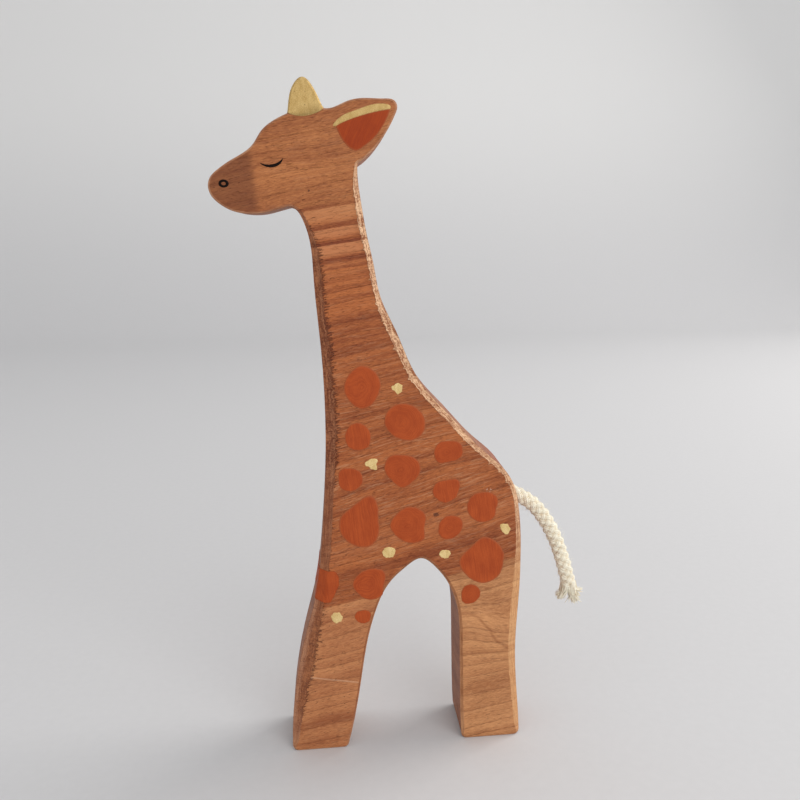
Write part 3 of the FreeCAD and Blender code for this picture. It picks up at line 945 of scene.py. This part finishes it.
def linear(color):
    """A colour as seen on a screen, 0 to 255, as the linear values that a shader wants."""
    share = np.array(color) / 255.0
    return (*np.where(share < 0.04045, share / 12.92, ((share + 0.055) / 1.055) ** 2.4), 1.0)

# %% A class for finishes
class Finish:
    """A material with its Principled shader, built up node by node.

    Its x, y and z are the place on the piece. A colour is three numbers from 0 to 255.
    """

    def __init__(self, name, **settings):
        self.material = bpy.data.materials.new(name)
        self.material.use_nodes = True
        self.tree = self.material.node_tree
        self.shader = next(n for n in self.tree.nodes if n.type == "BSDF_PRINCIPLED")
        for key, value in settings.items():
            self.shader.inputs[key.replace("_", " ")].default_value = value
        place = self.node("ShaderNodeTexCoord", {}, out="Object")
        place = self.node("ShaderNodeVectorMath", {"operation": "SCALE"}, place,
                          Scale=MM_IN_METRE)
        self.x, self.y, self.z = (self.node("ShaderNodeSeparateXYZ", {}, place, out=axis)
                                  for axis in "XYZ")

    def plug(self, socket, value):
        """A link, a number or a colour into a socket; None leaves the socket alone."""
        if isinstance(value, Wire):
            self.tree.links.new(value.socket, socket)
        elif value is not None:
            socket.default_value = linear(value) if isinstance(value, tuple) else value

    def node(self, kind, settings, *values, out=0, **named):
        """A node: its options, its sockets' values or links in order or by name, one output."""
        made = self.tree.nodes.new(kind)
        for key, value in settings.items():
            setattr(made, key, value)
        free = [s for s in made.inputs if s.enabled]
        for socket, value in zip(free, values):
            self.plug(socket, value)
        for key, value in named.items():
            self.plug(next(s for s in free if s.name == key.replace("_", " ")), value)
        outs = [s for s in made.outputs if s.enabled]
        found = outs[out] if isinstance(out, int) else next(s for s in outs if s.name == out)
        return Wire(self, found)

    def noise(self, x, y, z, detail=2.0, rough=0.5):
        """Noise of mean about 0.5 at the given coordinates, in steps of 1."""
        return self.node("ShaderNodeTexNoise", {"noise_dimensions": "3D"},
                         Vector=self.node("ShaderNodeCombineXYZ", {}, x, y, z), Scale=1.0,
                         Detail=detail, Roughness=rough)

    def mottle(self, wide, deep, tall, detail=2.0, rough=0.5):
        """Noise all over the piece, its cells so many mm in x, y and z."""
        return self.noise(self.x / wide, self.y / deep, self.z / tall, detail, rough)

    def mix(self, share, first, second):
        """One colour over another; a share of 1 gives the second."""
        return self.node("ShaderNodeMix", {"data_type": "RGBA"}, share, first, second)

    def attribute(self, name):
        """A value that the piece keeps on its points."""
        return self.node("ShaderNodeAttribute", {"attribute_name": name}, out="Fac")

    def finish(self, color, rough, height, depth):
        """Connects colour, roughness and a bump whose height is in shares of depth (mm)."""
        self.plug(self.shader.inputs["Base Color"], color)
        self.plug(self.shader.inputs["Roughness"], rough)
        bump = self.node("ShaderNodeBump", {}, Strength=1.0, Distance=depth * MM, Height=height)
        self.plug(self.shader.inputs["Normal"], bump)

    def dress(self, *pieces):
        """Gives the finish to whole pieces."""
        for piece in pieces:
            piece.data.materials.clear()
            piece.data.materials.append(self.material)

# %% [markdown]
# The wood is one solid pattern, as in a real board: the same figure runs through face, bevel
# and wall, because every value is worked out from the place in the board. Its grain lies almost
# level and climbs a little towards the rump. So the pattern has its own coordinates: along the
# grain and across it, bent by slow waves. Shares say how far a place belongs to the head, the
# neck, the body or the legs.

# %% Along and across the grain
GRAIN_RISE = math.radians(9.5)
wood = Finish("oiled fruit wood", Specular_IOR_Level=0.3)
x, y, z = wood.x, wood.y, wood.z
head_share = z.step(156.0, 168.0)
neck_share = z.bell(143.0, 17.0)
body_share = z.bell(90.0, 30.0)
heart_end = z - x * 0.225 + (wood.mottle(6.0, 8.0, 30.0) - 0.5) * 2.0
leg_share = heart_end.step(50.6, 49.4)

sway = wood.mottle(75.0, 25.0, 34.0, detail=1.0) - 0.5
ripples = wood.mottle(16.0, 9.0, 5.0) - 0.5
slope = math.tan(GRAIN_RISE) + 0.13 * z.bell(84.0, 28.0) + head_share * 0.05
along = x * math.cos(GRAIN_RISE) + z * math.sin(GRAIN_RISE)
across = z - x * slope + sway * 10.0
across = across + x.step(26.0, 42.5) * z.bell(36.0, 8.0) * 5.0 + y * 0.12
across = across + ripples * 0.9


def grain(long, deep, tall, detail=2.0, rough=0.5):
    """Noise whose cells are so many mm along the grain, in y, and across the grain."""
    return wood.noise(along / long, y / deep, across / tall, detail, rough)


print("grain rises", round(math.degrees(GRAIN_RISE), 1), "degrees")

# %% [markdown]
# The figure has broad bands, fine streaks between them, hair lines and short dark pores, and
# the thin dark ends of year rings. Their sum is the tone, from 0, dark, to 1, light.

# %% The figure
broad = grain(160.0, 60.0, 7.5, rough=0.55)
band = grain(120.0, 40.0, 1.7, detail=3.0, rough=0.65)
streak = grain(4.2, 1.2, 0.38, detail=4.0, rough=0.7)
hair = grain(1.5, 0.4, 0.24, detail=3.0, rough=0.6)
pore = grain(2.2, 0.3, 0.19, detail=1.0).step(0.64, 0.74)
patchy = wood.mottle(14.0, 10.0, 9.0, detail=3.0)
year = wood.node("ShaderNodeMath", {"operation": "FRACT"},
                 (across / 4.6 + grain(150.0, 50.0, 9.0, detail=1.0) * 2.0) * -1.0)
late = year * year * year
line = year.step(0.90, 0.99)
tone = (broad - 0.5) * (1.0 - body_share * 0.5 - head_share * 0.45)
tone = tone + (band - 0.5) * (0.55 + neck_share * 0.5)
tone = tone - late * 0.14 * (1 - head_share) + (streak - 0.5) * (0.66 - leg_share * 0.32)
tone = tone + (hair - 0.5) * 1.05 + (patchy - 0.5) * (0.35 + leg_share * 0.25) + 0.53

# %% [markdown]
# Broad pale bands with dark lines between them cross the neck, and one dark line curls over the
# hind leg. They are where they are on the real board, so they are listed by their heights.

# %% Bands of the neck
NECK_BANDS = ((159.4, 163.9, 0.30), (155.0, 158.1, 0.40), (149.6, 153.5, 0.46),
              (146.6, 148.3, 0.08), (144.0, 146.2, 0.08))     # foot, top, lightness
NECK_LINES = ((164.6, 0.5, 0.24), (159.0, 0.8, 0.26), (154.1, 0.45, 0.46), (149.0, 0.7, 0.44),
              (147.1, 0.4, 0.16), (138.5, 0.6, 0.14), (131.5, 0.5, 0.16))  # height, reach, dark
level = z - (x + 15.0) * 0.16 + y * 0.05 + (ripples + band - 0.5) * 0.7
glow = 0.0
for foot, top, light in NECK_BANDS:
    glow = level.step(foot, (foot + top) / 2) * level.step(top + 0.35, top) * light + glow
for height, reach, gloom in NECK_LINES:
    tone = tone - level.bell(height, reach) * gloom
glow = glow * (0.35 + streak * 1.3)
curl = z - 41.8 + x.step(28.5, 41.0) * 12.5 + ripples * 4.0 + (band - 0.5) * 2.0
tone = tone + glow + neck_share * 0.06
tone = tone - curl.bell(0.0, 0.8) * x.step(24.0, 27.0) * patchy * 0.45
print(len(NECK_BANDS), "bands,", len(NECK_LINES), "lines")

# %% [markdown]
# The tone then picks a place between a dark and a light colour. The heart of the board is
# redder, and ends at a slanted line above the legs; below it the sapwood is paler, most of all
# in the hind leg, and the head is a little lighter than the neck.

# %% Colours of the wood
HEART = (127, 58, 26), (194, 113, 61)
SAP = (150, 84, 48), (206, 139, 90)
HIND_SAP = (158, 98, 58), (220, 158, 106)
HEAD = (136, 70, 35), (200, 128, 75)
DARK_PORE = (84, 42, 26)
hind_share = x.step(-5.0, 20.0)
dark, light = (
    wood.mix(head_share, wood.mix(leg_share, heart, wood.mix(hind_share, sap, hind)), head_color)
    for heart, sap, hind, head_color in zip(HEART, SAP, HIND_SAP, HEAD))
color = wood.mix(tone.step(0.02, 0.98), dark, light)
color = wood.mix(pore * 0.22, color, DARK_PORE)
color = wood.mix(line * 0.12, color, DARK_PORE)

# %% [markdown]
# Next come the marks of this one board: pale flecks, a nick across the front leg, the brown
# stain of the muzzle, two small knots, and a scratch on the rump. A mark's place is a product of
# soft steps and bells in x and z.

# %% Marks on the wood
fleck = grain(5.0, 0.8, 0.36, detail=3.0, rough=0.6).step(0.52, 0.66)
nick = (z + x * 0.18 - 20.5 + streak * 0.3).bell(0.0, 0.22)
nick = nick * x.step(-23.0, -21.0) * x.step(-5.5, -7.0)
color = wood.mix(nick * (hair + 0.1) * 0.9, color, (222, 176, 142))
dull = (z - x * 0.24 + ripples * 3.0).bell(66.0, 2.6)
color = wood.mix(fleck * (0.12 + body_share * 0.30) + glow * 0.6 + dull * 0.07, color,
                 (207, 151, 112))
muzzle = (x + (z - 170.0) * 0.09 + (streak - 0.5) * 1.6).step(-30.3, -33.3)
color = wood.mix(muzzle * z.step(158.0, 160.0) * 0.56, color, (98, 48, 28))
knot = x.bell(17.9, 0.9) * z.bell(74.3, 0.6) + x.bell(-17.1, 0.3) * z.bell(169.8, 0.3)
knot = knot * 1.5 + (wood.mottle(0.6, 1.0, 1.1) - 0.5) * knot * 5.0
color = wood.mix(knot.step(0.2, 1.0) * 0.75, color, (74, 34, 20))
scratch = wood.noise((x - z * 0.3) / 0.34, y, z / 1.6, detail=1.0).step(0.56, 0.62)
scratch = scratch * (x.bell(34.0, 1.7) * z.bell(81.0, 0.75)).step(0.25, 0.5)
color = wood.mix(scratch * 0.8, color, (236, 214, 196))

# %% [markdown]
# On the back the knife left bare pale wood, and the cut there is painted paler still, as the
# highlight where the key light falls; on the chest the cut is old and dark, and painted darker
# again, as shade. Low on the legs the outer strip of the cut is painted paler, as sheen, and it
# is paler near the floor too. The sawn wall shows end grain, darker and duller. The board's own
# values say which is which, and crumbs and chips are finer than anything in the face.

# %% Knifed edges and sawn wall
cut, wall, bare_and_lit, crumbled, inner = (
    wood.attribute(name) for name in ("cut", "wall", "bare_and_lit", "crumbled", "inner"))
rub = wood.noise(wood.attribute("run") / 5.0, wood.attribute("depth") / 0.28, bare_and_lit * 3.0,
                 detail=3.0, rough=0.6)
crumb = wood.noise(along / 1.6, y / 0.45, z / 0.45, detail=4.0, rough=0.7)
chips = wood.mottle(0.9, 0.9, 0.35, detail=3.0, rough=0.65)
knifed = (rub - 0.5) * (0.6 + crumbled) + (crumb - 0.5) * crumbled * 1.3
knifed = knifed + (tone - 0.5) * 0.4 + 0.5
low_down = z.step(70.0, 50.0)
# fresh_and_lit: bare pale wood on the back, its light colours a painted highlight of the key light.
fresh_and_lit = wood.mix(knifed.step(0.25, 0.75),
                 wood.mix(low_down, (154, 94, 58), (184, 124, 78)),
                 wood.mix(low_down, (234, 190, 150), (224, 172, 120)))
# old_and_shaded: the chest's old dark cut, its dark colour partly painted shade.
old_and_shaded = wood.mix(knifed.step(0.1, 0.9), (112, 52, 28), (174, 104, 64))
# Painted sheen: low on the legs the outer strip of the cut is made paler, as grazing light; it is
# paler near the floor too.
low_sheen = inner.step(0.6, 0.2) * z.step(62.0, 52.0)
low_sheen = low_sheen + z.step(16.0, 5.0) * (1 - low_sheen) * 0.7
old_and_shaded = wood.mix(low_sheen * 0.75, old_and_shaded, wood.mix(knifed, (168, 106, 74), (206, 152, 120)))
edge_color = wood.mix(bare_and_lit, old_and_shaded, fresh_and_lit)
edge_color = wood.mix(chips.step(0.56, 0.68) * crumbled * 0.75, edge_color, (78, 34, 18))
end_grain = wood.mix(tone.step(0.1, 0.9), (128, 74, 52), (176, 116, 82))
end_grain = wood.mix(pore * 0.5, end_grain, (78, 42, 28))
end_grain = wood.mix(x.bell(38.0, 5.0) * z.bell(88.0, 6.0) * 0.6, end_grain, (140, 62, 46))
edge_color = wood.mix(wall * 0.92, edge_color, end_grain)
color = wood.mix(cut, color, edge_color)

# %% [markdown]
# Beside the old cut, short dark tears run from the edge into the face. The bump follows the
# same patterns as the colour, and is deepest where the wood crumbled.

# %% Torn grain, and the finish
rip = grain(1.7, 1.0, 0.36, rough=0.6)
torn = (wood.attribute("torn") * 0.9 + (rip - 0.5) * 3.4 - 0.55).step(0.0, 0.25)
torn = torn * (1 - cut) * (1 - bare_and_lit * 0.85)
color = wood.mix(torn * 0.78, color, (88, 36, 18))
rough = 0.50 + (streak - 0.5) * 0.2 + pore * 0.2 + cut * 0.08
height = (streak * 0.45 + hair * 0.35 + band * 0.35 - pore * 0.5) * (1 - cut * 0.4)
height = height + cut * (rub * 0.5 + crumb * crumbled * 1.5 + chips * crumbled * 0.9)
height = height - torn * 1.4 - line * 0.5
wood.finish(color, rough, height, depth=0.16)
wood.dress(board)
print("wood nodes", len(wood.tree.nodes))

# %% [markdown]
# The spots are a matt terracotta put on with a small brush, so faint strokes run down each one,
# or round it, and at the rim the coat is thin and the wood shows. The ears' insides are a
# deeper red.

# %% Terracotta
def brushed(name, deep, pale, lean):
    """A brushed paint between two colours, its strokes leaning by `lean` in x for each z."""
    f = Finish(name, Specular_IOR_Level=0.25)
    down = f.x + f.z * lean + (f.mottle(6.0, 1.0, 6.0) - 0.5) * 1.5
    swirl = f.attribute("swirl")
    around = f.attribute("ring") + down * 0.45 + (f.mottle(3.0, 1.0, 3.0) - 0.5) * 2.5
    first = down * (1 - swirl) + around * swirl
    hairs = f.noise(first / 0.33, f.y, f.z * (1 - swirl) / 9.0, detail=3.0, rough=0.6)
    cloud = f.mottle(3.2, 1.0, 4.5, detail=3.0)
    speck = f.mottle(0.16, 1.0, 0.16, detail=1.0)
    tone = 0.5 + (hairs - 0.5) * 0.85 + (cloud - 0.5) * 0.55 + (speck - 0.5) * 0.4
    thin = (f.attribute("edge") + (speck - 0.5) * 0.08).step(0.90, 1.0)
    color = f.mix(thin * 0.7, f.mix(tone.step(0.15, 0.9), deep, pale), (166, 92, 54))
    f.finish(color, 0.62 + (hairs - 0.5) * 0.2, hairs * 0.7 + speck * 0.35 + cloud * 0.3,
             depth=0.05)
    return f


spot_paint = brushed("terracotta paint", (157, 62, 21), (190, 86, 36), 0.12)
spot_paint.dress(*spots, *edge_spots)
ear_paint = brushed("deep terracotta paint", (150, 52, 10), (174, 70, 20), -0.4)
ear_paint.dress(*linings)
print("terracotta on", len(spots) + len(edge_spots) + len(linings), "pieces")

# %% [markdown]
# The gold is a pale metal paint: a third metal, the rest binder, with small flakes that catch
# the light one by one. It is a little darker on the head, and on the horn it has worn off in
# specks near the edges.

# %% Gold
gold = Finish("pale gold paint", Metallic=0.35, Specular_IOR_Level=0.3)
flake = gold.mottle(0.22, 0.22, 0.22, rough=0.6)
swipe = gold.mottle(1.2, 2.0, 3.0, detail=3.0)
on_head = gold.z.step(150.0, 160.0)
on_horn = gold.z.step(187.0, 189.0) * gold.x.step(-9.0, -11.0)
off_middle = gold.y * gold.y
rim = off_middle.step(80.0, 94.0) * off_middle.step(100.8, 99.5)
rubbed = (gold.mottle(0.5, 0.7, 0.5, detail=3.0, rough=0.7) + rim * 0.10).step(0.66, 0.70)
gold_tone = ((flake - 0.5) * 1.4 + (swipe - 0.5) * 0.9 + 0.5).step(0.1, 0.9)
gold_color = gold.mix(on_head, gold.mix(gold_tone, (208, 172, 106), (246, 220, 160)),
                      gold.mix(gold_tone, (184, 148, 84), (220, 190, 128)))
gold_color = gold.mix(rubbed * on_horn * 0.7, gold_color, (96, 58, 34))
gold.finish(gold_color, 0.55 + (flake - 0.5) * 0.3, flake * 0.7 + swipe * 0.6, depth=0.06)
gold.dress(*dots, *crescents, horn)
print("gold on", len(dots) + len(crescents) + 1, "pieces")

# %% [markdown]
# The eyes and nostrils are drawn in a matt black with a little brown in it. Its grain is as
# fine as the brush's hairs.

# %% Black
black = Finish("black paint", Specular_IOR_Level=0.1)
soot = black.mottle(0.3, 1.0, 0.3, detail=3.0)
black.finish(black.mix(soot.step(0.3, 0.8), (10, 4, 3), (30, 17, 12)), 0.5 + soot * 0.2, soot,
             depth=0.04)
black.dress(*eyes, *nostrils)

# %% [markdown]
# The cotton is undyed. Fine fibres run along each strand, so the colour and the bump change
# quickly round a strand and slowly along it; the hollows between strands and the lower outer
# yarns are painted darker, as painted shade. A ring of dried glue holds the cord in its hole:
# it is an engineering node, and only gets its finish.

# %% Cotton and glue
cotton = Finish("undyed cotton", Roughness=0.9, Sheen_Weight=0.35, Sheen_Roughness=0.4,
                Specular_IOR_Level=0.2)
fibre = cotton.mottle(0.14, 0.10, 0.30, detail=3.0, rough=0.7)
dirt = cotton.mottle(2.2, 2.2, 2.2)
# Painted shade: the cotton darkens where the crest value is low, in the hollows between strands; on
# the loose yarns the value is their own random tone.
cotton_tone = cotton.attribute("crest") * 0.75 + (fibre - 0.5) * 0.9 + (dirt - 0.5) * 0.4 + 0.2
cotton.finish(cotton.mix(cotton_tone.step(0.05, 0.8), (195, 158, 104), (255, 249, 230)), None,
              fibre + dirt * 0.5, depth=0.12)
cotton.dress(tail, tuft_piece, fuzz_piece)

glue = Finish("dried wood glue", Roughness=0.35, Coat_Weight=0.3)
bubble = glue.mottle(0.6, 0.6, 0.6)
glue.finish(glue.mix(bubble.step(0.3, 0.7), (196, 160, 104), (232, 206, 158)),
            0.3 + bubble * 0.2, bubble, depth=0.1)
for slot in nodes["tail_glue"].material_slots:
    slot.material = glue.material

# %% [markdown]
# The stage is a pale table that curves up into a wall without a corner, so that the wall's
# colour fades into the table's.

# %% Floor and backdrop
FLOOR_FRONT, FLOOR_BACK = -2.5, 1.0      # metres
WALL_TOP, HALF_WIDTH, BEND = 3.5, 4.0, 0.5


def cyclorama():
    """A floor that bends up into a wall: a line, a quarter circle and a line, swept along x."""
    turn = np.linspace(0, math.pi / 2, 24)
    profile = np.vstack([(FLOOR_FRONT, 0.0), np.stack([FLOOR_BACK + BEND * np.sin(turn),
                                                       BEND * (1 - np.cos(turn))], axis=1),
                         (FLOOR_BACK + BEND, WALL_TOP)])
    ends = [np.insert(profile, 0, end, axis=1) for end in (-HALF_WIDTH, HALF_WIDTH)]
    faces = grid_faces(2, len(profile))[:, ::-1].tolist()
    return new_object("table", new_mesh("table", np.vstack(ends), faces, outward=False))


floor = cyclorama()
plain = Finish("pale table", Roughness=0.7, Specular_IOR_Level=0.2)
grainy = plain.mottle(3.0, 3.0, 3.0, detail=3.0)
table_color = plain.mix(grainy, (209, 209, 211), (214, 214, 216))
plain.finish(plain.mix(plain.z.step(0.0, 500.0), table_color, (236, 236, 236)),
             0.7 + (grainy - 0.5) * 0.1, grainy, depth=0.02)
plain.dress(floor)

# %% [markdown]
# Soft light comes from large panels. The brightest for its size stands behind the figure to its
# right, so the rump's knifed edge shines and the chest's edge stays dark. A panel's place and
# target are in metres, its power in watts.

# %% Lights
FIGURE_MIDDLE = (0.0, 0.0, 0.1)
ROOM_LIGHT = 0.60


def panel(name, place, size, power, color=(1.0, 1.0, 1.0)):
    """A square soft light at a place, turned to the figure."""
    data = bpy.data.lights.new(name, "AREA")
    data.shape, data.size, data.energy, data.color = "SQUARE", size, power, color
    turn = (Vector(FIGURE_MIDDLE) - Vector(place)).normalized().to_track_quat("-Z", "Y")
    new_object(name, data).matrix_world = Matrix.Translation(place) @ turn.to_matrix().to_4x4()


panel("key behind right", (1.1, 0.35, 0.8), 0.8, 9.0, (1.0, 0.97, 0.93))
panel("fill in front", (0.7, -1.4, 0.8), 1.3, 11.0, (1.0, 0.985, 0.96))
panel("top", (0.1, 0.0, 1.5), 1.2, 0.5)
world = bpy.data.worlds.new("studio")
world.use_nodes = True
background = world.node_tree.nodes["Background"]
background.inputs["Color"].default_value = (1.0, 1.0, 1.0, 1.0)
background.inputs["Strength"].default_value = ROOM_LIGHT
bpy.context.scene.world = world
